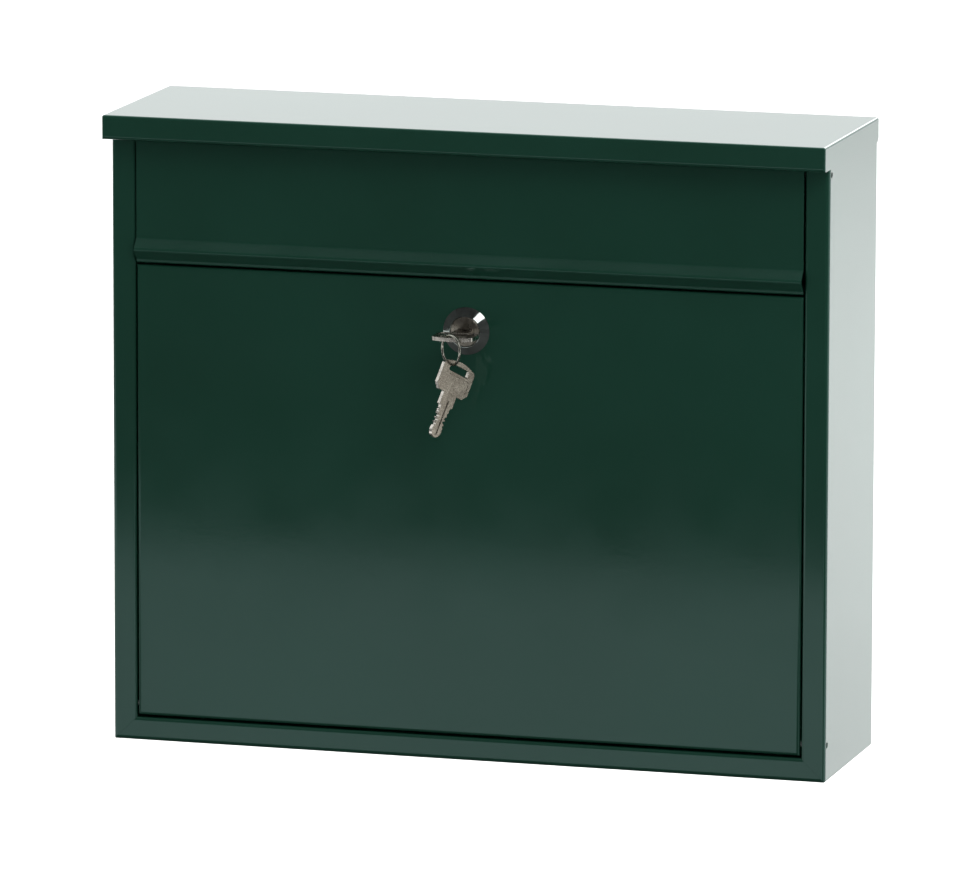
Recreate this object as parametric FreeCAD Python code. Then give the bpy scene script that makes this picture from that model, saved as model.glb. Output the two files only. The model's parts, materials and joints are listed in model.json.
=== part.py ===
import FreeCAD, Part
import math
import os

# Wall mounted mailbox in folded steel sheet, in millimetres.
# X is to the right, Y points into the wall and Z is up. The wall face is Y = 0.
# Heights below are measured from the underside of the box; save() moves every
# piece so that the centre of the four wall holes becomes the origin.

V = FreeCAD.Vector
os.makedirs("parts", exist_ok=True)

# ---- box ----
WIDTH = 360.0
DEPTH = 92.0
HEIGHT = 311.0
SHEET = 0.8
HALF = WIDTH / 2
FRONT = -DEPTH
ROOF_OVERHANG = 12.5
ROOF_LIP = 12.0
LIP_R = 1.8
LIP_RETURN = 4.5
ROOF_UNDER = HEIGHT - SHEET
LIP_BOTTOM = HEIGHT - ROOF_LIP
STILE = 12.0
RAIL = 11.6
RETURN = 10.0
SIDE_R = 2.2
ROOF_R = 1.2
WELD_R = 1.4
STILE_R = 1.6
MITRE_GAP = 0.02

# ---- wall holes ----
HOLE_R = 3.0
HOLE_X = 120.0
HOLE_Z = 100.0
ORIGIN_Z = 155.0

# ---- flap and door ----
LEAF_HALF = 167.3
DOOR_BOTTOM = 12.8
DOOR_TOP = 236.4
DOOR_DEEP = 15.0
DOOR_R = 1.6
FLAP_BOTTOM = 237.5
FLAP_TOP = 298.5
RIDGE_START = 249.7
RIDGE_NOSE = 244.3
HEM_START = 239.2
RIDGE_OUT = 5.0
ROD_R = 1.5
RUN_FIT = 0.06
ROD_Y = -88.2
ROD_Z = 295.5
PIN_Y = -88.3
PIN_Z = 18.2
PIN_INNER_X = 163.0
PIN_RECESS = 0.5

# ---- cross rail between mail slot and door ----
CROSS_Y = -76.6
CROSS_BOTTOM = 226.0
CROSS_TOP = 252.0
CROSS_LIP_Y = -90.8
CROSS_LIP_HALF = 167.3

# ---- cam lock ----
LOCK_Z = 212.0
BEZEL_R = 11.6
BEZEL_FACE_R = 7.8
BEZEL_OUT = 3.0
BARREL_R = 8.0
BARREL_FLAT = 7.0
BARREL_END = -76.6
THREAD_PITCH = 1.0
THREAD_DEEP = 0.5
PLUG_R = 6.2
HEAD_R = 7.2
HEAD_THICK = 1.2
STEM = 6.0
STEM_END = -73.4
NUT_FLATS = 22.0
NUT_THICK = 4.5
WASHER_R = 12.0
WASHER_THICK = 0.8
CAM_FRONT = -75.4
CAM_THICK = 2.0
CAM_HALF = 8.0
CAM_REACH = 26.0
WAFERS = 5
WAFER_FIRST = -90.6
WAFER_PITCH = 2.4
WAFER_THICK = 1.0

# ---- keys and ring ----
BOW_HALF = 10.4
BOW_LEN = 16.2
SHANK_HALF = 4.3
SHANK_LEN = 6.2
BLADE_HALF = 3.4
BLADE_LEN = 16.0
KEY_THICK = 2.0
RIM = 2.3
EYE_LEN = 3.5
EYE_HALF = 6.4
KEY_STANDOFF = 2.0
RING_R = 7.2
WIRE_R = 0.65
RING_TURN = 52.0
RING_SHIFT = 0.0
SPARE_TILT = 27.5
SPARE_TURN = 57.0


def save(node, shape):
    moved = shape.copy()
    moved.translate(V(0, 0, -ORIGIN_Z))
    moved.exportStep("parts/%s.step" % node)


def box(x0, x1, y0, y1, z0, z1):
    return Part.makeBox(x1 - x0, y1 - y0, z1 - z0, V(x0, y0, z0))


def rod_x(radius, x0, x1, y, z):
    return Part.makeCylinder(radius, x1 - x0, V(x0, y, z), V(1, 0, 0))


def rod_y(radius, y0, y1, x, z):
    return Part.makeCylinder(radius, y1 - y0, V(x, y0, z), V(0, 1, 0))


def mirror_x(shape):
    return shape.mirror(V(0, 0, 0), V(1, 0, 0))


def fuse(first, *others):
    return first.fuse(list(others)).removeSplitter()


# ---- bent sheet profiles ----
def unit(p, q):
    length = math.hypot(q[0] - p[0], q[1] - p[1])
    return ((q[0] - p[0]) / length, (q[1] - p[1]) / length)


def turn(points, i):
    a = unit(points[i - 1], points[i])
    b = unit(points[i], points[i + 1])
    return a, b, a[0] * b[1] - a[1] * b[0]


def offset_line(points, d):
    """The same open line moved d to its left, with mitred corners."""
    out = []
    for i, p in enumerate(points):
        if i == 0:
            a = unit(points[0], points[1])
            out.append((p[0] - a[1] * d, p[1] + a[0] * d))
        elif i == len(points) - 1:
            a = unit(points[-2], points[-1])
            out.append((p[0] - a[1] * d, p[1] + a[0] * d))
        else:
            a, b, cross = turn(points, i)
            scale = d / (1 + a[0] * b[0] + a[1] * b[1])
            out.append((p[0] - (a[1] + b[1]) * scale, p[1] + (a[0] + b[0]) * scale))
    return out


def line_edges(points, radii, place):
    """Edges along an open line whose inner corners are rounded to radii."""
    edges = []
    start = points[0]
    for i in range(1, len(points) - 1):
        a, b, cross = turn(points, i)
        dot = a[0] * b[0] + a[1] * b[1]
        back = radii[i - 1] * math.sqrt((1 - dot) / (1 + dot))
        p = points[i]
        arc_in = (p[0] - a[0] * back, p[1] - a[1] * back)
        arc_out = (p[0] + b[0] * back, p[1] + b[1] * back)
        half = (b[0] - a[0], b[1] - a[1])
        size = math.hypot(half[0], half[1])
        reach = math.hypot(back, radii[i - 1]) - radii[i - 1]
        mid = (p[0] + half[0] / size * reach, p[1] + half[1] / size * reach)
        edges.append(Part.makeLine(place(start), place(arc_in)))
        edges.append(Part.Arc(place(arc_in), place(mid), place(arc_out)).toShape())
        start = arc_out
    edges.append(Part.makeLine(place(start), place(points[-1])))
    return edges


def sheet(points, radii, side, place, path):
    """Bent sheet: points is one face, side is +1 or -1 for metal on its left or right."""
    other = offset_line(points, side * SHEET)
    other_radii = []
    for i in range(1, len(points) - 1):
        cross = turn(points, i)[2]
        bend = 1 if cross > 0 else -1
        other_radii.append(radii[i - 1] - bend * side * SHEET)
    edges = line_edges(points, radii, place)
    edges.append(Part.makeLine(place(points[-1]), place(other[-1])))
    edges += line_edges(other[::-1], other_radii[::-1], place)
    edges.append(Part.makeLine(place(other[0]), place(points[0])))
    face = Part.Face(Part.Wire(Part.__sortEdges__(edges)))
    return face.extrude(path)


def in_xy(z):
    return lambda p: V(p[0], p[1], z)


def in_yz(x):
    return lambda p: V(x, p[0], p[1])


def near(value, target):
    return abs(value - target) < 1e-6


def edges_on(shape, test):
    """Straight edges whose two ends both satisfy test."""
    chosen = []
    for edge in shape.Edges:
        ends = [v.Point for v in edge.Vertexes]
        if len(ends) == 2 and test(ends[0]) and test(ends[1]):
            chosen.append(edge)
    return chosen


def along_y(shape):
    """Edges that run parallel to Y."""
    chosen = []
    for edge in shape.Edges:
        p = edge.Vertexes[0].Point
        q = edge.Vertexes[1].Point
        if near(p.x, q.x) and near(p.z, q.z):
            chosen.append(edge)
    return chosen


def tray(x0, x1, y0, y1, z0, z1, face_y, radius):
    """Shallow pan with its face at face_y, open on the other side, edges bent."""
    outer = box(x0, x1, y0, y1, z0, z1)
    outer = outer.makeFillet(radius, edges_on(outer, lambda p: near(p.y, face_y)))
    low_y = y0 + SHEET if near(face_y, y0) else y0 - 5
    high_y = y1 + 5 if near(face_y, y0) else y1 - SHEET
    inner = box(x0 + SHEET, x1 - SHEET, low_y, high_y, z0 + SHEET, z1 - SHEET)
    inner_face = low_y if near(face_y, y0) else high_y
    inner = inner.makeFillet(radius - SHEET, edges_on(inner, lambda p: near(p.y, inner_face)))
    pan = outer.cut(inner)
    slit = SHEET + 0.5
    slit_y0 = y0 + 3.0 if near(face_y, y0) else y0 - 1
    slit_y1 = y1 + 1 if near(face_y, y0) else y1 - 3.0
    for x in (x0, x1 - slit):
        for z in (z0, z1 - slit):
            pan = pan.cut(box(x - 0.01, x + slit + 0.01, slit_y0, slit_y1, z - 0.01, z + slit + 0.01))
    return pan


# ---- side panels: wall, front stile and return flange ----
def mitre(above, gap):
    """Wedge above or below the slanted seam between stile and bottom rail."""
    slope = RAIL / STILE
    shift = gap * math.hypot(1, slope)

    def seam(x):
        return RAIL - (x - (HALF - STILE)) * slope

    far = 60.0 if above else -60.0
    shift = shift if above else -shift
    # The wedge starts shift away from the seam so that a thin open line is left.
    corners = [
        V(HALF - 40, FRONT - 5, seam(HALF - 40) - shift),
        V(HALF + 10, FRONT - 5, seam(HALF + 10) - shift),
        V(HALF + 10, FRONT - 5, far),
        V(HALF - 40, FRONT - 5, far),
    ]
    corners.append(corners[0])
    return Part.Face(Part.makePolygon(corners)).extrude(V(0, DEPTH + 10, 0))


def ground_corner():
    """What is ground off the welded lower right corner, all along the depth."""
    block = box(HALF - WELD_R, HALF + 1, FRONT - 1, 1, -1, WELD_R)
    return block.cut(rod_y(WELD_R, FRONT - 2, 2, HALF - WELD_R, WELD_R))


stile_line = [(HALF, 0), (HALF, FRONT), (HALF - STILE, FRONT), (HALF - STILE, FRONT + RETURN)]
side_panel = sheet(stile_line, [SIDE_R, STILE_R], -1, in_xy(0), V(0, 0, ROOF_UNDER))
side_panel = side_panel.cut(mitre(False, MITRE_GAP)).cut(ground_corner())
side_flange = box(HALF - 9, HALF - SHEET / 2, -80, -14, ROOF_UNDER - SHEET, ROOF_UNDER)
side_panel = fuse(side_panel, side_flange)
for hole_y, hole_z in ((ROD_Y, ROD_Z), (PIN_Y, PIN_Z)):
    side_panel = side_panel.cut(rod_x(ROD_R, HALF - STILE - 1, HALF + 1, hole_y, hole_z))

# ---- bottom with the front rail ----
rail_line = [(0, 0), (FRONT, 0), (FRONT, RAIL), (FRONT + RETURN, RAIL)]
bottom = sheet(rail_line, [SIDE_R, STILE_R], -1, in_yz(-HALF), V(WIDTH, 0, 0))
bottom = bottom.cut(mitre(True, MITRE_GAP))
bottom = bottom.cut(mirror_x(mitre(True, MITRE_GAP)))
bottom = bottom.cut(ground_corner()).cut(mirror_x(ground_corner()))
weld_tab = box(HALF - 2 * SHEET, HALF - SHEET, -80, -14, SHEET / 2, 12)
bottom = fuse(bottom, weld_tab, mirror_x(weld_tab))
save("bottom_pan", bottom)

# ---- back panel with four wall holes ----
back = tray(-HALF + SHEET, HALF - SHEET, -12, 0, SHEET, ROOF_UNDER, 0, 1.4)
for sx in (-1, 1):
    for sz in (-1, 1):
        back = back.cut(rod_y(HOLE_R, -3, 1, sx * HOLE_X, ORIGIN_Z + sz * HOLE_Z))
save("back_panel", back)

# ---- roof tray ----
roof_half = HALF + SHEET
roof_front = FRONT - ROOF_OVERHANG
roof = box(-roof_half, roof_half, roof_front, 0, LIP_BOTTOM, HEIGHT)


def roof_outside(p, q, half, front, top):
    """True for the bent edges: round the top at front and sides, and the front corners."""
    on_top = near(p.z, top) and near(q.z, top)
    on_rear = near(p.y, q.y) and not near(p.y, front)
    corner = near(p.y, front) and near(q.y, front) and near(p.x, q.x)
    return (on_top and not on_rear) or corner


def roof_edges(shape, half, front, top):
    chosen = []
    for edge in shape.Edges:
        p = edge.Vertexes[0].Point
        q = edge.Vertexes[1].Point
        if roof_outside(p, q, half, front, top):
            chosen.append(edge)
    return chosen


roof = roof.makeFillet(ROOF_R, roof_edges(roof, roof_half, roof_front, HEIGHT))
hollow = box(-HALF, HALF, roof_front + SHEET, 5, LIP_BOTTOM - 5, ROOF_UNDER)
hollow = hollow.makeFillet(ROOF_R - SHEET, roof_edges(hollow, HALF, roof_front + SHEET, ROOF_UNDER))
roof = roof.cut(hollow)
roll_y = roof_front + LIP_R
roll_z = LIP_BOTTOM + LIP_R
roll_room = box(-roof_half - 1, roof_half + 1, roof_front - 1, roll_y, LIP_BOTTOM - 1, roll_z)
roll_room = roll_room.cut(rod_x(LIP_R, -roof_half - 2, roof_half + 2, roll_y, roll_z))
roof = roof.cut(roll_room)
front_lip = [(roof_front, LIP_BOTTOM + 6), (roof_front, LIP_BOTTOM), (roof_front + LIP_RETURN, LIP_BOTTOM)]
roll = sheet(front_lip, [LIP_R], 1, in_yz(-HALF), V(WIDTH, 0, 0))
roof = fuse(roof, roll)
corner_cut = Part.Face(Part.makePolygon([
    V(-roof_half - 1, 1, LIP_BOTTOM - 1),
    V(-roof_half - 1, 1, LIP_BOTTOM + 3.0),
    V(-roof_half - 1, -3.0, LIP_BOTTOM - 1),
    V(-roof_half - 1, 1, LIP_BOTTOM - 1),
])).extrude(V(2 * roof_half + 2, 0, 0))
roof = roof.cut(corner_cut)
save("roof", roof)
side_panel = side_panel.cut(roof)
save("side_panel_right", side_panel)
save("side_panel_left", mirror_x(side_panel))

# ---- cross rail: door stop, cam catch and lower edge of the mail slot ----
web_line = [(-HALF + SHEET, -58), (-HALF + SHEET, CROSS_Y), (HALF - SHEET, CROSS_Y), (HALF - SHEET, -58)]
web = sheet(web_line, [2.0, 2.0], 1, in_xy(CROSS_BOTTOM), V(0, 0, CROSS_TOP - 3 - CROSS_BOTTOM))
lip_line = [(CROSS_Y, CROSS_TOP - 10), (CROSS_Y, CROSS_TOP), (CROSS_LIP_Y, CROSS_TOP)]
lip = sheet(lip_line, [1.0], -1, in_yz(-CROSS_LIP_HALF), V(2 * CROSS_LIP_HALF, 0, 0))
cross = fuse(web, lip)
save("cross_rail", cross)

# ---- mail flap with the finger ridge and two hinge ears ----
flap_line = [
    (FRONT + 9.0, FLAP_TOP),
    (FRONT, FLAP_TOP),
    (FRONT, RIDGE_START),
    (FRONT - RIDGE_OUT, RIDGE_NOSE),
    (FRONT, HEM_START),
    (FRONT, FLAP_BOTTOM),
    (FRONT + 8.5, FLAP_BOTTOM),
]
flap = sheet(flap_line, [2.0, 1.0, 1.4, 1.0, 1.0], 1, in_yz(-LEAF_HALF), V(2 * LEAF_HALF, 0, 0))
ear = box(LEAF_HALF - SHEET, LEAF_HALF, FRONT + SHEET / 2, FRONT + 12.5, 286.5, FLAP_TOP - SHEET / 2)
ear = ear.makeFillet(4.0, edges_on(ear, lambda p: near(p.y, FRONT + 12.5) and p.z < 290))
ear = ear.makeFillet(2.0, edges_on(ear, lambda p: near(p.y, FRONT + 12.5) and p.z > 295))
flap = fuse(flap, ear, mirror_x(ear))
flap = flap.cut(rod_x(ROD_R + RUN_FIT, -LEAF_HALF - 1, LEAF_HALF + 1, ROD_Y, ROD_Z))
save("mail_flap", flap)
rod = rod_x(ROD_R, -HALF + PIN_RECESS, HALF - PIN_RECESS, ROD_Y, ROD_Z)
save("flap_hinge_rod", rod.makeChamfer(0.3, [e for e in rod.Edges if e.Closed]))

# ---- door and its two hinge pins ----
door = tray(-LEAF_HALF, LEAF_HALF, FRONT, FRONT + DOOR_DEEP, DOOR_BOTTOM, DOOR_TOP, FRONT, DOOR_R)
door = door.cut(rod_x(ROD_R + RUN_FIT, -LEAF_HALF - 1, LEAF_HALF + 1, PIN_Y, PIN_Z))
barrel_hole = rod_y(BARREL_R, FRONT - 1, FRONT + 2, 0, LOCK_Z)
flats = box(-20, 20, FRONT - 1, FRONT + 2, LOCK_Z - BARREL_FLAT, LOCK_Z + BARREL_FLAT)
door = door.cut(barrel_hole.common(flats))
save("door", door)
pin = rod_x(ROD_R, PIN_INNER_X, HALF - PIN_RECESS, PIN_Y, PIN_Z)
pin = pin.makeChamfer(0.4, [e for e in pin.Edges if e.Closed])
save("door_pin_right", pin)
save("door_pin_left", mirror_x(pin))

# ---- lock housing: conical bezel and threaded barrel with two flats ----
lock_face = FRONT - BEZEL_OUT


def spun(profile):
    """Solid of revolution about the lock axis from (radius, y) points."""
    points = [V(r, y, 0) for r, y in profile]
    points.append(points[0])
    solid = Part.Face(Part.makePolygon(points)).revolve(V(0, 0, 0), V(0, 1, 0), 360)
    solid.translate(V(0, 0, LOCK_Z))
    return solid


bore_r = PLUG_R + RUN_FIT
recess_r = HEAD_R + RUN_FIT
recess_y = lock_face + HEAD_THICK + 0.05
profile = [(recess_r, lock_face), (BEZEL_FACE_R, lock_face)]
profile += [(BEZEL_R - 0.2, FRONT - 0.5), (BEZEL_R, FRONT - 0.2)]
profile += [(BEZEL_R, FRONT), (BARREL_R, FRONT), (BARREL_R, FRONT + 1.5)]
turns = int((BARREL_END - FRONT - 2.5) / THREAD_PITCH)
for i in range(turns):
    y = FRONT + 1.5 + i * THREAD_PITCH
    profile.append((BARREL_R - THREAD_DEEP, y + THREAD_PITCH / 2))
    profile.append((BARREL_R, y + THREAD_PITCH))
profile += [(BARREL_R - 0.6, BARREL_END), (bore_r, BARREL_END), (bore_r, recess_y), (recess_r, recess_y)]
housing = spun(profile)
shaved = box(-20, 20, FRONT, BARREL_END + 1, LOCK_Z - BARREL_FLAT, LOCK_Z + BARREL_FLAT)
bezel_room = box(-20, 20, lock_face - 1, FRONT, LOCK_Z - 20, LOCK_Z + 20)
housing = housing.common(shaved.fuse(bezel_room)).removeSplitter()
save("lock_housing", housing)

# ---- washer and hexagon nut behind the door ----
back_of_door = FRONT + SHEET
washer_y = back_of_door + WASHER_THICK
washer = rod_y(WASHER_R, back_of_door, washer_y, 0, LOCK_Z)
washer = washer.cut(rod_y(BARREL_R + 0.2, back_of_door - 1, washer_y + 1, 0, LOCK_Z))
save("lock_washer", washer)
nut_points = []
for i in range(7):
    angle = math.radians(30 + 60 * i)
    corner = NUT_FLATS / 2 / math.cos(math.radians(30))
    nut_points.append(V(corner * math.cos(angle), washer_y, LOCK_Z + corner * math.sin(angle)))
nut = Part.Face(Part.makePolygon(nut_points)).extrude(V(0, NUT_THICK, 0))
dome_at = V(0, washer_y + NUT_THICK, LOCK_Z)
dome = Part.makeCone(NUT_FLATS / 2 + 0.2, NUT_FLATS / 2 + 6.2, 6, dome_at, V(0, -1, 0))
nut = nut.common(dome)
nut = nut.cut(rod_y(BARREL_R, washer_y - 1, washer_y + NUT_THICK + 1, 0, LOCK_Z))
save("lock_nut", nut)

# ---- plug with keyway, wafer chambers and square stem ----
plug = fuse(
    rod_y(PLUG_R, lock_face + 0.5, BARREL_END, 0, LOCK_Z),
    rod_y(HEAD_R, lock_face, lock_face + HEAD_THICK, 0, LOCK_Z))
plug = plug.makeChamfer(0.25, [e for e in plug.Edges if e.Closed and near(e.Curve.Center.y, lock_face)])
stem = box(-STEM / 2, STEM / 2, BARREL_END - 0.2, STEM_END, LOCK_Z - STEM / 2, LOCK_Z + STEM / 2)
plug = fuse(plug, stem)
keyway_end = lock_face - KEY_STANDOFF + BLADE_LEN + 0.5
slot_half = BLADE_HALF + 0.2
plug = plug.cut(box(-slot_half, slot_half, lock_face - 1, keyway_end, LOCK_Z - 1.15, LOCK_Z + 1.15))
wafer_list = []
spring_list = []
for i in range(WAFERS):
    y = WAFER_FIRST + i * WAFER_PITCH
    room = WAFER_THICK / 2 + 0.05
    plug = plug.cut(box(-5.6, 5.6, y - room, y + room, LOCK_Z - 2.85, LOCK_Z + 2.85))
    plug = plug.cut(box(-1.3, 3.3, y - room - 0.05, y + room + 0.05, LOCK_Z + 2.8, LOCK_Z + 4.5))
    wafer = box(-5.3, 5.3, y - WAFER_THICK / 2, y + WAFER_THICK / 2, LOCK_Z - 2.7, LOCK_Z + 2.7)
    wafer = wafer.makeFillet(0.5, along_y(wafer))
    tab = box(-1.1, 0.0, y - WAFER_THICK / 2, y + WAFER_THICK / 2, LOCK_Z + 2.4, LOCK_Z + 4.3)
    wafer = fuse(wafer, tab)
    window = box(-BLADE_HALF - 0.25, BLADE_HALF + 0.25, y - 1, y + 1, LOCK_Z - 1.3, LOCK_Z + 1.3)
    wafer_list.append(wafer.cut(window))
    coil = Part.makeHelix(0.8, 2.4, 0.45)
    wire = Part.Wire(coil.Edges)
    first = wire.Edges[0]
    start = first.valueAt(first.FirstParameter)
    heading = first.tangentAt(first.FirstParameter)
    circle = Part.Wire([Part.makeCircle(0.11, start, heading)])
    spring = wire.makePipeShell([circle], True, True)
    spring.rotate(V(0, 0, 0), V(0, 1, 0), 90)
    spring.translate(V(0.35, y, LOCK_Z + 3.6))
    spring_list.append(spring)
screw_hole = rod_y(1.95, STEM_END - 7.5 + 4.0, STEM_END + 1, 0, LOCK_Z)
plug = plug.cut(screw_hole)
save("lock_plug", plug)
save("lock_wafers", Part.makeCompound(wafer_list))
save("wafer_springs", Part.makeCompound(spring_list))

# ---- stop washer, cam and cam screw ----
square_hole = box(-STEM / 2, STEM / 2, -80, -70, LOCK_Z - STEM / 2, LOCK_Z + STEM / 2)
stop_front = BARREL_END + 0.05
stop = rod_y(8.2, stop_front, CAM_FRONT, 0, LOCK_Z)
stop_ear = box(-2.2, 2.2, stop_front, CAM_FRONT, LOCK_Z - 10.6, LOCK_Z)
stop = fuse(stop, stop_ear).cut(square_hole)
save("cam_stop_washer", stop)
cam_back = CAM_FRONT + CAM_THICK
cam = rod_y(CAM_HALF, CAM_FRONT, cam_back, 0, LOCK_Z)
arm = box(0, CAM_REACH, CAM_FRONT, cam_back, LOCK_Z - CAM_HALF, LOCK_Z + CAM_HALF)
arm = arm.makeFillet(3.0, [e for e in along_y(arm) if near(e.Vertexes[0].Point.x, CAM_REACH)])
cam = fuse(cam, arm).cut(square_hole)
save("lock_cam", cam)
head = rod_y(4.4, cam_back, cam_back + 2.2, 0, LOCK_Z)
head = head.makeFillet(1.0, [e for e in head.Edges if e.Closed and near(e.Curve.Center.y, cam_back + 2.2)])
shank = rod_y(1.95, STEM_END - 3.4, cam_back + 0.1, 0, LOCK_Z)
screw = fuse(head, shank)
for wide, tall in ((2.2, 0.45), (0.45, 2.2)):
    screw = screw.cut(box(-wide, wide, cam_back + 1.0, cam_back + 3, LOCK_Z - tall, LOCK_Z + tall))
save("cam_screw", screw)


# ---- keys ----
def arc_line(points):
    return Part.Arc(V(points[0][0], points[0][1], 0), V(points[1][0], points[1][1], 0),
                    V(points[2][0], points[2][1], 0)).toShape()


def rounded_slot(a0, a1, half, radius, z0, z1):
    block = box(a0, a1, -half, half, z0, z1)
    corners = [e for e in block.Edges if near(e.Vertexes[0].Point.x, e.Vertexes[1].Point.x)
               and near(e.Vertexes[0].Point.y, e.Vertexes[1].Point.y)]
    return block.makeFillet(radius, corners)


def make_key():
    """Flat key, bow end at x = 0, tip along +X, width along Y, thickness centred on Z."""
    half_t = KEY_THICK / 2
    shoulder = BOW_LEN + SHANK_LEN
    tip = shoulder + BLADE_LEN
    cuts = [1.4, 3.5, 5.6, 7.7, 9.8]
    depths_up = [0.4, 0.8, 1.4, 1.8, 0.9]
    depths_down = [0.6, 0.5, 1.5, 1.6, 1.4]
    upper = [V(shoulder, SHANK_HALF, 0), V(shoulder, BLADE_HALF, 0)]
    lower = [V(shoulder, -SHANK_HALF, 0), V(shoulder, -BLADE_HALF, 0)]
    for at, up, down in zip(cuts, depths_up, depths_down):
        for shift, part in ((-0.8, 0.4), (-0.35, 1.0), (0.35, 1.0), (0.8, 0.4)):
            upper.append(V(shoulder + at + shift, BLADE_HALF - part * up, 0))
            lower.append(V(shoulder + at + shift, -BLADE_HALF + part * down, 0))
    for back, half in ((4.6, 2.9), (3.6, 3.1), (2.4, 2.9), (1.2, 2.3), (0.4, 1.4), (0.0, 0.5)):
        upper.append(V(tip - back, half, 0))
        lower.append(V(tip - back, -half, 0))
    neck = [V(BOW_LEN - 2.6, BOW_HALF, 0), V(BOW_LEN, BOW_HALF - 2.6, 0), V(BOW_LEN, SHANK_HALF, 0)]
    corner = 2.4
    sag = 1.5
    right = [V(sag + corner, BOW_HALF, 0)] + neck + upper
    left = [V(p.x, -p.y, 0) for p in right[:4]] + lower
    edges = []
    for chain in (right, left):
        for p, q in zip(chain[:-1], chain[1:]):
            edges.append(Part.makeLine(p, q))
    edges.append(Part.makeLine(right[-1], left[-1]))
    bend = 0.29 * corner
    edge_half = BOW_HALF - corner
    edges.append(arc_line(((sag + corner, BOW_HALF), (sag + bend, BOW_HALF - bend), (sag, edge_half))))
    edges.append(arc_line(((sag, edge_half), (0, 0), (sag, -edge_half))))
    edges.append(arc_line(((sag, -edge_half), (sag + bend, -BOW_HALF + bend), (sag + corner, -BOW_HALF))))
    outline = Part.Face(Part.Wire(Part.__sortEdges__(edges)))
    outline.translate(V(0, 0, -half_t))
    key = outline.extrude(V(0, 0, KEY_THICK))
    key = key.cut(rounded_slot(RIM, RIM + EYE_LEN, EYE_HALF, 0.8, -3, 3))
    for z0, z1 in ((half_t - 0.25, half_t + 1), (-half_t - 1, -half_t + 0.25)):
        field = rounded_slot(RIM + EYE_LEN + 1.3, BOW_LEN - 1.5, BOW_HALF - 1.6, 1.8, z0, z1)
        key = key.cut(field)
    for z0, z1 in ((half_t - 0.5, half_t + 1), (-half_t - 1, -half_t + 0.5)):
        key = key.cut(rounded_slot(shoulder - 3.0, tip - 1.0, 0.75, 0.7, z0, z1))
    return key


key_shape = make_key()
bow_end_y = lock_face - KEY_STANDOFF - SHANK_LEN - BOW_LEN
key = key_shape.copy()
key.rotate(V(0, 0, 0), V(0, 0, 1), 90)
key.translate(V(0, bow_end_y, LOCK_Z))
save("key", key)

# The ring hangs over the outer rim of the inserted key, in a vertical plane.
def level_pair(degrees):
    """Two level directions at right angles, turned about the vertical."""
    rad = math.radians(degrees)
    return V(math.sin(rad), -math.cos(rad), 0), V(math.cos(rad), math.sin(rad), 0)


along, across = level_pair(RING_TURN)
rim_half = RIM / 2 / math.cos(math.radians(RING_TURN)) + 0.45
drop = math.sqrt((RING_R - WIRE_R) ** 2 - rim_half ** 2)
ring_centre = V(RING_SHIFT, bow_end_y + RIM / 2, LOCK_Z + KEY_THICK / 2 + 0.05 - drop)
ring = Part.makeTorus(RING_R, WIRE_R, ring_centre, across)
ring_gap = Part.makeBox(3, 3, 0.3, V(-1.5, -1.5, -0.15))
ring_gap.rotate(V(0, 0, 0), V(0, 0, 1), RING_TURN)
gap_low = math.radians(20)
ring_gap.translate(ring_centre + along * (RING_R * math.cos(gap_low)) - V(0, 0, RING_R * math.sin(gap_low)))
ring = ring.cut(ring_gap)
save("key_ring", ring)

# The spare key hangs from the bottom of the ring at one end of its eye.
hang = ring_centre - V(0, 0, RING_R)
spare_along, spare_across = level_pair(SPARE_TURN)
tilt = math.radians(SPARE_TILT)
down = V(0, 0, -math.cos(tilt)) - spare_across * math.sin(tilt)
side = spare_across * math.cos(tilt) - V(0, 0, math.sin(tilt))
normal = down.cross(side)
eye_a = RIM + WIRE_R + 0.2
eye_b = -(EYE_HALF - WIRE_R - 0.3)
corner_point = hang - down * eye_a - side * eye_b
frame = FreeCAD.Matrix(
    down.x, side.x, normal.x, corner_point.x,
    down.y, side.y, normal.y, corner_point.y,
    down.z, side.z, normal.z, corner_point.z,
    0, 0, 0, 1)
spare = key_shape.transformGeometry(frame)
save("spare_key", spare)
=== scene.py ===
import json
import math

import bmesh
import bpy
from mathutils import Matrix, Vector


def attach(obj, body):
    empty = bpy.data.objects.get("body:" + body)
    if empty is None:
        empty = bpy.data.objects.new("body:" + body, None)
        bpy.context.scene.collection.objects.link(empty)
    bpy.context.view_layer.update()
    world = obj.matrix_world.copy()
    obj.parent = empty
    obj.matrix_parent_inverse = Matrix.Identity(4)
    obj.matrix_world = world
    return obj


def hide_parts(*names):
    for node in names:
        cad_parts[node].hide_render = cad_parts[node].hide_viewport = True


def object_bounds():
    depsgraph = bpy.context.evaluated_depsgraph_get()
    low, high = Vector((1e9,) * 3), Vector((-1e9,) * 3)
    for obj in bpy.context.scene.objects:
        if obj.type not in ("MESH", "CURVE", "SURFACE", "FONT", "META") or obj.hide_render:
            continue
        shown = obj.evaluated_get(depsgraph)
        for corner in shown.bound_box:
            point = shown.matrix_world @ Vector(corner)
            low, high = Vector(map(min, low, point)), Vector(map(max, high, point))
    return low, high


# Wall mounted mailbox in dark green powder-coated sheet, key in its lock. Metres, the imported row's frame.
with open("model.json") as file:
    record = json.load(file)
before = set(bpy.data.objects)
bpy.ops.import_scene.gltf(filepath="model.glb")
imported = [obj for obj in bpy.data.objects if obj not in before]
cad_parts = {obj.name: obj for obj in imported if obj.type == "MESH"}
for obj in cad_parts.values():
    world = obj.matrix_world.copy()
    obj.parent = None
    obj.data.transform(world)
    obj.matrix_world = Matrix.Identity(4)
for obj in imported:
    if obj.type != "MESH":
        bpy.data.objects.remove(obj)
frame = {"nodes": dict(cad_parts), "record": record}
cad_low, cad_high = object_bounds()

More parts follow.
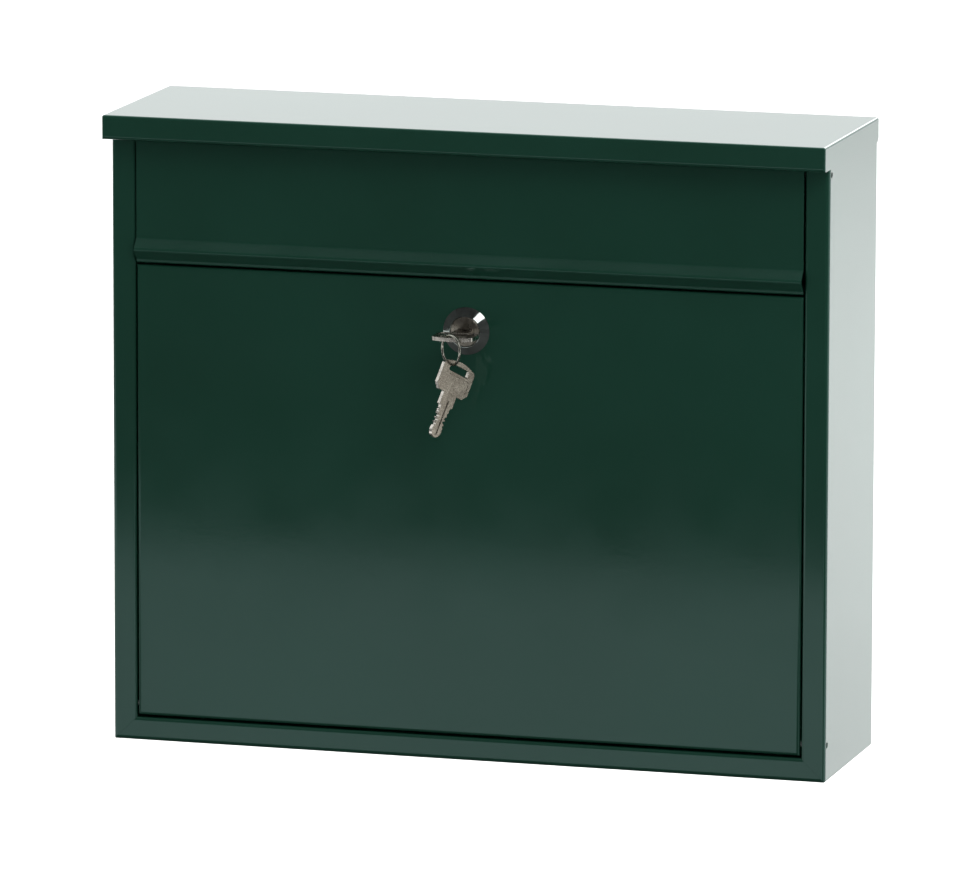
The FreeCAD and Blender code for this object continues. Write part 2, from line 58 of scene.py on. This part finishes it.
# ---- camera: a long lens from the right and a little above ----
CAM_AT = (1.33495, -4.64132, 0.86269)
CAM_YAW = math.radians(16.2736)
CAM_PITCH = math.radians(10.2424)
CAM_ROLL = math.radians(0.1374)
CAM_LENS = 374.023
CAM_SENSOR = 36.0
CAM_NEAR = 0.1
CAM_FAR = 60

# ---- studio: the floor, and a sky that is weaker towards the front ----
FLOOR_DROP = 0.25
FLOOR_FRONT = -1.84
FLOOR_BACK = 4.2
FLOOR_HALF = 6.0
SKY_FRONT = 0.46
SKY_BACK = 1.50
SKY_TURN_FRONT = -0.40
SKY_TURN_BACK = 0.10
SKY_TINT = (0.985, 0.995, 1.0, 1)

# ---- studio: where the dark cards of the unlit front half end ----
CEILING = 2.4
WALL_X = 2.5
CARD_STEP = 0.02
CARD_LIFT = 0.005
FRONT_CARD_X = 6
FRONT_CARD_LOW = -4
FRONT_CARD_HIGH = 5
LEFT_BACK = -0.45
LEFT_LOW_BACK = -0.20
LEFT_LOW_TOP = 0.6
RIGHT_BACK = -0.75
CEILING_BACK = -0.66
CORNER_BACK = -0.60
UNDER_LEFT = -0.80
UNDER_RIGHT = 1.0
UNDER_FRONT = -1.0
UNDER_BACK = 0.10

# ---- lock bezel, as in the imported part: radii, and heights off the door's face ----
DOOR_FACE = -0.092
LOCK_Z = 0.057
RECESS_R = 0.00726
FACE_R = 0.0078
SKIRT_R = 0.0116
BEZEL_OUT = 0.003
BEZEL_EASE = 0.00018
SKIRT_EDGE = 0.0003

# ---- the spare key's turn about the vertical ----
SPARE_TURN = math.radians(57)

# ---- meshes: sides of a turned ring, and the bends above which an edge stays sharp or is eased ----
LATHE_STEPS = 128
LATHE_SHARP = math.radians(24)
CAD_SHARP = math.radians(32)
EASED_ABOVE = math.radians(35)
SAME_PLANE = math.radians(0.6)
SAME_POINT = 1e-6


def add_object(name, data):
    obj = bpy.data.objects.new(name, data)
    bpy.context.scene.collection.objects.link(obj)
    return obj


# ---------------------------------------------------------------- materials
class Nodes:
    """A material's node tree with short calls for the nodes used here."""

    def __init__(self, name):
        self.mat = bpy.data.materials.new(name)
        self.mat.use_nodes = True
        self.tree = self.mat.node_tree
        self.tree.nodes.clear()
        self.out = self.add("ShaderNodeOutputMaterial")
        self.bsdf = self.add("ShaderNodeBsdfPrincipled")
        self.link(self.bsdf.outputs["BSDF"], self.out.inputs["Surface"])
        coords = self.add("ShaderNodeTexCoord")
        self.coords = coords.outputs["Object"]
        self.normals = coords.outputs["Normal"]

    def add(self, kind):
        return self.tree.nodes.new(kind)

    def link(self, source, target):
        self.tree.links.new(source, target)

    def set(self, **values):
        for key, value in values.items():
            self.bsdf.inputs[key.replace("_", " ")].default_value = value

    def into(self, socket, source):
        self.link(source, self.bsdf.inputs[socket])

    def stretch(self, scale):
        mapping = self.add("ShaderNodeMapping")
        mapping.inputs["Scale"].default_value = scale
        self.link(self.coords, mapping.inputs["Vector"])
        return mapping.outputs["Vector"]

    def noise(self, scale, detail=2.0, vector=None, rough=0.5):
        node = self.add("ShaderNodeTexNoise")
        node.inputs["Scale"].default_value = scale
        node.inputs["Detail"].default_value = detail
        node.inputs["Roughness"].default_value = rough
        self.link(vector or self.coords, node.inputs["Vector"])
        return node.outputs["Fac"]

    def spread(self, fac, low, high, start=0.3, end=0.7):
        node = self.add("ShaderNodeMapRange")
        node.inputs["From Min"].default_value = start
        node.inputs["From Max"].default_value = end
        node.inputs["To Min"].default_value = low
        node.inputs["To Max"].default_value = high
        self.link(fac, node.inputs["Value"])
        return node.outputs["Result"]

    def blend(self, fac, dark, light, start=0.3, end=0.7):
        ramp = self.add("ShaderNodeValToRGB")
        ramp.color_ramp.elements[0].position = start
        ramp.color_ramp.elements[1].position = end
        ramp.color_ramp.elements[0].color = (*dark, 1)
        ramp.color_ramp.elements[1].color = (*light, 1)
        self.link(fac, ramp.inputs["Fac"])
        return ramp.outputs["Color"]

    def edge_highlight_mask(self, across):
        """One where the surface faces away from the direction across, nothing on the flats square to it; the
        mask of the keys' painted edge highlight.
        """
        dot = self.add("ShaderNodeVectorMath")
        dot.operation = "DOT_PRODUCT"
        dot.inputs[1].default_value = across
        self.link(self.normals, dot.inputs[0])
        size = self.add("ShaderNodeMath")
        size.operation = "ABSOLUTE"
        self.link(dot.outputs["Value"], size.inputs[0])
        return self.spread(size.outputs["Value"], 1.0, 0.0, 0.60, 0.90)

    def mix(self, fac, first, second):
        node = self.add("ShaderNodeMixRGB")
        self.link(fac, node.inputs["Fac"])
        self.link(first, node.inputs["Color1"])
        self.link(second, node.inputs["Color2"])
        return node.outputs["Color"]

    def bump(self, height, distance, strength, after=None):
        node = self.add("ShaderNodeBump")
        node.inputs["Strength"].default_value = strength
        node.inputs["Distance"].default_value = distance
        self.link(height, node.inputs["Height"])
        if after is not None:
            self.link(after, node.inputs["Normal"])
        return node.outputs["Normal"]


def powder_coat():
    """Glossy dark green powder coat: cloudy colour, uneven gloss, faint orange peel under a finer grain."""
    m = Nodes("powder_coat_green")
    m.set(IOR=1.5, Specular_Tint=(0.72, 1.0, 1.0, 1.0))
    cloud = m.noise(9.0, 3.0)
    m.into("Base Color", m.blend(cloud, (0.0112, 0.0510, 0.0320), (0.0130, 0.0605, 0.0388)))
    m.into("Roughness", m.spread(m.noise(35.0, 4.0), 0.070, 0.105))
    peel = m.bump(m.noise(420.0, 2.0), 0.00003, 0.18)
    m.into("Normal", m.bump(m.noise(1900.0, 1.0), 0.000008, 0.12, peel))
    return m.mat


def zinc_plate(name, light, dark, rough):
    """Plated steel, or near-black steel that paints shade: mottled, with a fine uneven dulling."""
    m = Nodes(name)
    m.set(Metallic=1.0)
    m.into("Base Color", m.blend(m.noise(260.0, 4.0), dark, light))
    m.into("Roughness", m.spread(m.noise(900.0, 3.0), rough - 0.07, rough + 0.08))
    m.into("Normal", m.bump(m.noise(1500.0, 2.0), 0.00002, 0.25))
    return m.mat


def chrome(name, light, dark, low, high):
    """Smooth plated metal, its roughness wandering between low and high."""
    m = Nodes(name)
    m.set(Metallic=1.0)
    m.into("Base Color", m.blend(m.noise(300.0, 3.0), dark, light))
    m.into("Roughness", m.spread(m.noise(700.0, 4.0), low, high))
    m.into("Normal", m.bump(m.noise(900.0, 2.0), 0.00001, 0.08))
    return m.mat


def brushed(name, dark, light, rough):
    """Metal with a drawn grain along Y."""
    m = Nodes(name)
    m.set(Metallic=1.0)
    grain = m.noise(900.0, 5.0, m.stretch((1.0, 0.08, 1.0)), 0.6)
    m.into("Base Color", m.blend(grain, dark, light))
    m.into("Roughness", m.spread(grain, rough - 0.05, rough + 0.08))
    m.into("Normal", m.bump(grain, 0.00003, 0.3))
    return m.mat


def key_nickel(name, across):
    """Nickel-plated brass key: warm grey tumbled flats square to across, and a painted highlight on the cut
    edges, which get a much brighter colour than the flats.
    """
    m = Nodes(name)
    m.set(Metallic=1.0)
    stain = m.noise(190.0, 5.0, rough=0.6)
    flats = m.blend(stain, (0.183, 0.160, 0.129), (0.318, 0.287, 0.237), 0.26, 0.60)
    edges = m.blend(stain, (0.42, 0.39, 0.345), (0.74, 0.71, 0.65), 0.26, 0.60)
    # Painted highlight: the cut edges get a much brighter colour than the flats.
    m.into("Base Color", m.mix(m.edge_highlight_mask(across), flats, edges))
    m.into("Roughness", m.spread(m.noise(1100.0, 5.0), 0.18, 0.34))
    scratch = m.noise(260.0, 4.0, m.stretch((1.0, 9.0, 2.2)), 0.6)
    dimple = m.bump(m.noise(600.0, 2.0), 0.00003, 0.15)
    m.into("Normal", m.bump(scratch, 0.00003, 0.18, dimple))
    return m.mat


looks = {
    "green_paint": powder_coat(),
    "zinc_steel": zinc_plate("zinc_plate", (0.70, 0.71, 0.72), (0.52, 0.53, 0.55), 0.32),
    # Painted shade: the dark_steel parts in the flap's gap are made near black, standing in for the shade
    # there.
    "dark_steel": zinc_plate("near_black_steel_painted_shade", (0.060, 0.063, 0.060), (0.030, 0.032, 0.030), 0.42),
    "nut_metal": zinc_plate("nut_zinc", (0.68, 0.68, 0.62), (0.50, 0.50, 0.45), 0.36),
    # Painted reflection: the lock's chrome is darkened and tinted green, like the dark green surroundings it
    # mirrors.
    "lock_chrome": chrome("lock_chrome", (0.42, 0.47, 0.445), (0.34, 0.38, 0.36), 0.04, 0.10),
    "plug_metal": chrome("plug_satin", (0.56, 0.52, 0.45), (0.27, 0.25, 0.215), 0.24, 0.42),
    "wafer_brass": brushed("wafer_brass", (0.55, 0.38, 0.16), (0.74, 0.55, 0.26), 0.35),
    "spring_steel": brushed("spring_wire", (0.35, 0.36, 0.38), (0.60, 0.61, 0.63), 0.30),
    "key_nickel": key_nickel("key_nickel_painted_edge_highlight", (0, 0, 1)),
    "ring_steel": chrome("ring_nickel", (0.54, 0.54, 0.47), (0.38, 0.38, 0.33), 0.14, 0.26),
}
# The spare key hangs on edge, so its flats face another way than the inserted key's, and its painted edge
# highlight is masked along that way.
spare_look = key_nickel("spare_key_nickel_painted_edge_highlight", (math.sin(SPARE_TURN), -math.cos(SPARE_TURN), 0))

slot_of = {s["node"]: s["material_slot"] for s in frame["record"]["subparts"]}
body_of = {}
for body, members in frame["record"]["behaviour"]["bodies"].items():
    for node in members:
        body_of[node] = body


# ---------------------------------------------------------------- pieces
def dress(obj, node):
    obj.data.materials.clear()
    obj.data.materials.append(spare_look if node == "spare_key" else looks[slot_of[node]])


def stand_in(piece, node):
    dress(piece, node)
    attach(piece, body_of[node])
    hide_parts(node)


def refined(node, edge, segments=2):
    """A copy of a CAD node's shape with flat faces joined and its sharp edges eased by edge metres."""
    source = frame["nodes"][node]
    piece = add_object(node + "_eased", source.data.copy())
    bm = bmesh.new()
    bm.from_mesh(piece.data)
    bmesh.ops.remove_doubles(bm, verts=bm.verts, dist=SAME_POINT)
    bmesh.ops.dissolve_limit(bm, angle_limit=SAME_PLANE, verts=bm.verts, edges=bm.edges)
    for face in bm.faces:
        face.smooth = True
    bm.to_mesh(piece.data)
    bm.free()
    bevel = piece.modifiers.new("edge", "BEVEL")
    bevel.width = edge
    bevel.segments = segments
    bevel.limit_method = "ANGLE"
    bevel.angle_limit = EASED_ABOVE
    normals = piece.modifiers.new("normals", "WEIGHTED_NORMAL")
    normals.weight = 100
    normals.keep_sharp = True
    stand_in(piece, node)


def lathe(name, profile, middle):
    """A closed ring turned about a line along Y through middle, from (radius, y) points."""
    bm = bmesh.new()
    rings = []
    for step in range(LATHE_STEPS):
        angle = 2 * math.pi * step / LATHE_STEPS
        rings.append([bm.verts.new((middle[0] + r * math.cos(angle), y, middle[1] + r * math.sin(angle)))
                      for r, y in profile])
    for step in range(LATHE_STEPS):
        here = rings[step]
        after = rings[(step + 1) % LATHE_STEPS]
        for i in range(len(profile)):
            j = (i + 1) % len(profile)
            bm.faces.new((here[i], here[j], after[j], after[i]))
    bmesh.ops.recalc_face_normals(bm, faces=bm.faces)
    mesh = bpy.data.meshes.new(name)
    bm.to_mesh(mesh)
    bm.free()
    mesh.shade_smooth()
    mesh.set_sharp_from_angle(angle=LATHE_SHARP)
    return add_object(name, mesh)


def bezel():
    """The lock's visible collar: a flat rim with eased edges and a cone down to the door."""
    face_y = DOOR_FACE - BEZEL_OUT
    ease = BEZEL_EASE
    profile = [
        (RECESS_R, DOOR_FACE),
        (RECESS_R, face_y + ease),
        (RECESS_R + ease * 0.3, face_y + ease * 0.3),
        (RECESS_R + ease, face_y),
        (FACE_R - ease, face_y),
        (FACE_R - ease * 0.3, face_y + ease * 0.12),
        (FACE_R + ease * 0.35, face_y + ease * 0.6),
        (SKIRT_R, DOOR_FACE - SKIRT_EDGE),
        (SKIRT_R, DOOR_FACE),
    ]
    stand_in(lathe("lock_bezel_turned", profile, (0.0, LOCK_Z)), "lock_housing")


def barrel():
    """The threaded barrel behind the collar, as packed."""
    piece = add_object("lock_barrel", frame["nodes"]["lock_housing"].data.copy())
    bm = bmesh.new()
    bm.from_mesh(piece.data)
    front = [f for f in bm.faces if all(v.co.y < DOOR_FACE + 1e-5 for v in f.verts)]
    bmesh.ops.delete(bm, geom=front, context="FACES")
    bm.to_mesh(piece.data)
    bm.free()
    piece.data.shade_smooth()
    piece.data.set_sharp_from_angle(angle=CAD_SHARP)
    stand_in(piece, "lock_housing")


bezel()
barrel()
for name in ("key", "spare_key"):
    refined(name, 0.00022, 3)
refined("lock_plug", 0.00012)
refined("lock_cam", 0.0002)
refined("lock_nut", 0.00015)
for name in ("roof", "mail_flap", "door", "side_panel_left", "side_panel_right", "bottom_pan", "cross_rail",
             "back_panel"):
    refined(name, 0.00016)

for node, obj in frame["nodes"].items():
    dress(obj, node)
    obj.data.shade_smooth()
    obj.data.set_sharp_from_angle(angle=CAD_SHARP)

# ---------------------------------------------------------------- floor
floor_z = cad_low.z - FLOOR_DROP
floor_mesh = bpy.data.meshes.new("floor")
floor_mesh.from_pydata(
    [(-FLOOR_HALF, FLOOR_FRONT, floor_z), (FLOOR_HALF, FLOOR_FRONT, floor_z),
     (FLOOR_HALF, FLOOR_BACK, floor_z), (-FLOOR_HALF, FLOOR_BACK, floor_z)],
    [], [(0, 1, 2, 3)])
floor = add_object("floor", floor_mesh)
paper = Nodes("floor_paper")
paper.set(Roughness=0.9, IOR=1.3)
paper.into("Base Color", paper.blend(paper.noise(6.0, 3.0), (0.86, 0.86, 0.855), (0.885, 0.885, 0.88)))
floor.data.materials.append(paper.mat)

# ---------------------------------------------------------------- dark cards
# They show only in glossy reflections: the unlit room in front, above and beside the box.
cloth = Nodes("dark_cloth")
cloth.set(Roughness=0.9)
cloth.into("Base Color", cloth.blend(cloth.noise(3.0), (0.035, 0.035, 0.035), (0.05, 0.05, 0.05)))


def dark_card(name, corners, diffuse=False):
    mesh = bpy.data.meshes.new(name)
    mesh.from_pydata(corners, [], [(0, 1, 2, 3)])
    mesh.materials.append(cloth.mat)
    card = add_object(name, mesh)
    card.visible_diffuse = diffuse
    for ray in ("camera", "transmission", "volume_scatter", "shadow"):
        setattr(card, "visible_" + ray, False)


def wall(name, x, y0, y1, top):
    dark_card(name, [(x, y0, floor_z), (x, y1, floor_z), (x, y1, top), (x, y0, top)])


def deck(name, x0, x1, y0, y1, z, diffuse=False):
    dark_card(name, [(x0, y0, z), (x1, y0, z), (x1, y1, z), (x0, y1, z)], diffuse)


front_y = FLOOR_FRONT - CARD_STEP
carpet_z = floor_z + CARD_LIFT
dark_card("card_front", [(-FRONT_CARD_X, front_y, FRONT_CARD_LOW), (FRONT_CARD_X, front_y, FRONT_CARD_LOW),
                         (FRONT_CARD_X, front_y, FRONT_CARD_HIGH), (-FRONT_CARD_X, front_y, FRONT_CARD_HIGH)])
wall("card_left_low", -WALL_X, front_y, LEFT_LOW_BACK, LEFT_LOW_TOP)
wall("card_left", -WALL_X, front_y, LEFT_BACK, CEILING)
wall("card_right", WALL_X, front_y, RIGHT_BACK, CEILING)
deck("card_ceiling", -WALL_X, WALL_X, front_y, CEILING_BACK, CEILING)
# The card under the box also takes the floor's light away from its underside.
deck("card_under", UNDER_LEFT, UNDER_RIGHT, UNDER_FRONT, UNDER_BACK, carpet_z, diffuse=True)
deck("card_corner", UNDER_RIGHT, WALL_X, front_y, CORNER_BACK, carpet_z)

# ---------------------------------------------------------------- sky
world = bpy.data.worlds.new("studio")
bpy.context.scene.world = world
world.use_nodes = True
tree = world.node_tree
tree.nodes.clear()
w_out = tree.nodes.new("ShaderNodeOutputWorld")
w_back = tree.nodes.new("ShaderNodeBackground")
w_coord = tree.nodes.new("ShaderNodeTexCoord")
w_split = tree.nodes.new("ShaderNodeSeparateXYZ")
w_range = tree.nodes.new("ShaderNodeMapRange")
w_back.inputs["Color"].default_value = SKY_TINT
for key, value in (("From Min", SKY_TURN_FRONT), ("From Max", SKY_TURN_BACK),
                   ("To Min", SKY_FRONT), ("To Max", SKY_BACK)):
    w_range.inputs[key].default_value = value
tree.links.new(w_coord.outputs["Generated"], w_split.inputs["Vector"])
tree.links.new(w_split.outputs["Y"], w_range.inputs["Value"])
tree.links.new(w_range.outputs["Result"], w_back.inputs["Strength"])
tree.links.new(w_back.outputs["Background"], w_out.inputs["Surface"])


# ---------------------------------------------------------------- lights
def softbox(name, at, target, size, power, spread=180):
    """A square area light at a place, aimed at a target; power in watts, spread in degrees."""
    data = bpy.data.lights.new(name, "AREA")
    data.shape = "SQUARE"
    data.size = size
    data.energy = power
    data.spread = math.radians(spread)
    lamp = add_object(name, data)
    lamp.location = at
    lamp.rotation_euler = (Vector(target) - Vector(at)).to_track_quat("-Z", "Y").to_euler()


softbox("softbox_right", (1.35, -1.40, 1.62), (0, -0.1, 0), size=0.95, power=9)
softbox("backdrop_light", (0.8, 2.5, 2.4), (0.8, 2.5, floor_z), size=3.0, power=83, spread=140)
softbox("rim_light", (0.3, 3.0, 1.45), (0, 0, 0.15), size=1.1, power=15)

# ---------------------------------------------------------------- camera
forward = Vector((-math.sin(CAM_YAW) * math.cos(CAM_PITCH), math.cos(CAM_YAW) * math.cos(CAM_PITCH),
                  -math.sin(CAM_PITCH)))
level = Vector((math.cos(CAM_YAW), math.sin(CAM_YAW), 0))
upright = level.cross(forward)
right = level * math.cos(CAM_ROLL) + upright * math.sin(CAM_ROLL)
up = upright * math.cos(CAM_ROLL) - level * math.sin(CAM_ROLL)
camera_data = bpy.data.cameras.new("camera")
camera_data.lens = CAM_LENS
camera_data.sensor_width = CAM_SENSOR
camera_data.clip_start = CAM_NEAR
camera_data.clip_end = CAM_FAR
camera = add_object("camera", camera_data)
camera.matrix_world = Matrix((
    (right.x, up.x, -forward.x, CAM_AT[0]),
    (right.y, up.y, -forward.y, CAM_AT[1]),
    (right.z, up.z, -forward.z, CAM_AT[2]),
    (0, 0, 0, 1)))
bpy.context.scene.camera = camera
bpy.context.scene.view_settings.view_transform = "Standard"
bpy.context.scene.view_settings.look = "None"
